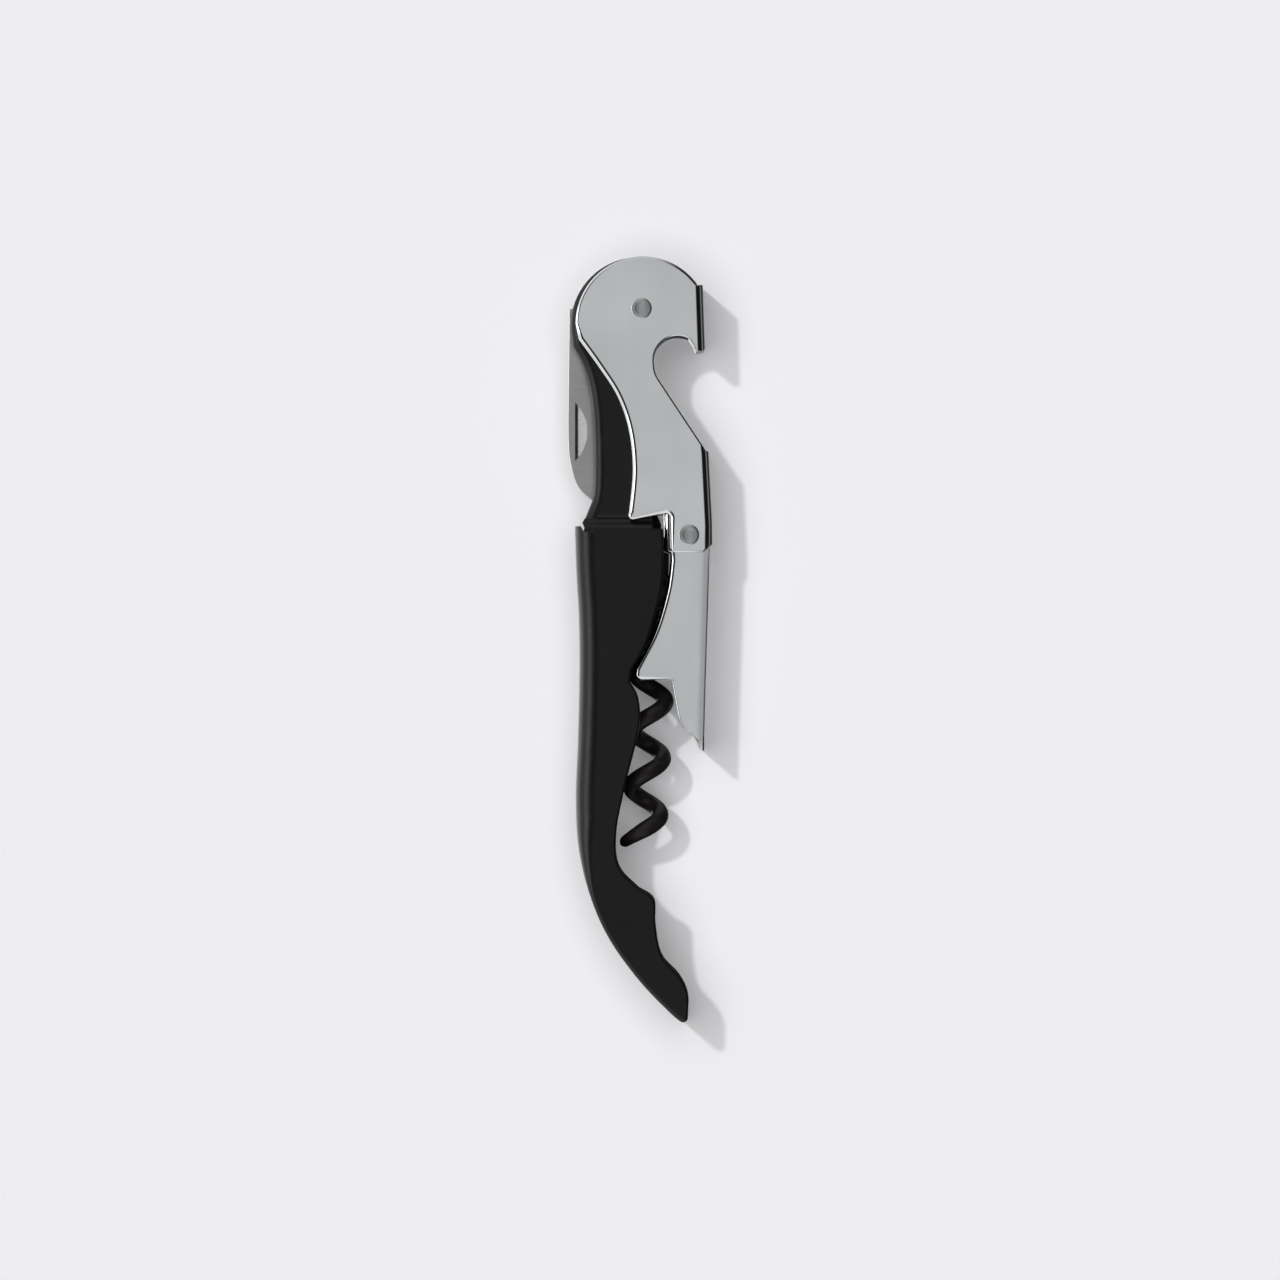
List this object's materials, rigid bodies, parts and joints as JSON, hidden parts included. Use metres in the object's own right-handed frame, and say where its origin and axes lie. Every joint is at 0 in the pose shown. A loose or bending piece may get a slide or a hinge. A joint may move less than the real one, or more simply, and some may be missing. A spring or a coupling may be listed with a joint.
{
  "type": "waiters corkscrew",
  "caption": "Folding waiters corkscrew with a two-step lever, cap lifter, foil knife and helical worm in a folded steel handle.",
  "frame": {"origin": "centre of the closed corkscrew's box in plan, at the lowest point it rests on when it lies on its side", "axes": "+Y from the handle's tail to the round head, +X from the handle's spine towards the levers, +Z out of the upper side face"},
  "size_m": [0.0226, 0.1202, 0.0134],
  "materials": {
    "handle_coat": "matte black powder coat",
    "plated_steel": "bright nickel-chrome plate",
    "knife_steel": "ground stainless",
    "worm_coat": "smooth dark non-stick coat on steel",
    "fastener_steel": "plain steel"
  },
  "bodies": {
    "body": {"handle": "handle_coat", "head_rivet": "plated_steel", "worm_pin": "fastener_steel", "knife_spacer_front": "fastener_steel", "knife_spacer_back": "fastener_steel", "knife_spring": "fastener_steel"},
    "lever": {"upper_lever": "plated_steel", "link_rivet": "plated_steel", "link_bush": "fastener_steel"},
    "arm": {"lower_arm": "plated_steel"},
    "knife": {"knife_blade": "knife_steel"},
    "worm": {"worm": "worm_coat"}
  },
  "joints": [
    {"name": "lever_swing", "type": "hinge", "parent": "body", "child": "lever", "pos_m": [0.0002, 0.05192, 0.00672], "axis": [0, 0, 1], "range_deg": [0, 115]},
    {"name": "arm_swing", "type": "hinge", "parent": "lever", "child": "arm", "pos_m": [0.00763, 0.01647, 0.00672], "axis": [0, 0, 1], "range_deg": [0, 35]},
    {"name": "knife_swing", "type": "hinge", "parent": "body", "child": "knife", "pos_m": [0.0002, 0.05192, 0.00672], "axis": [0, 0, -1], "range_deg": [0, 150]},
    {"name": "worm_swing", "type": "hinge", "parent": "body", "child": "worm", "pos_m": [0.00083, 0.02262, 0.00672], "axis": [0, 0, 1], "range_deg": [0, 90]}
  ],
  "couplings": [
    {"joint": "worm_swing", "follows": "lever_swing", "ratio": 0.7826}
  ]
}
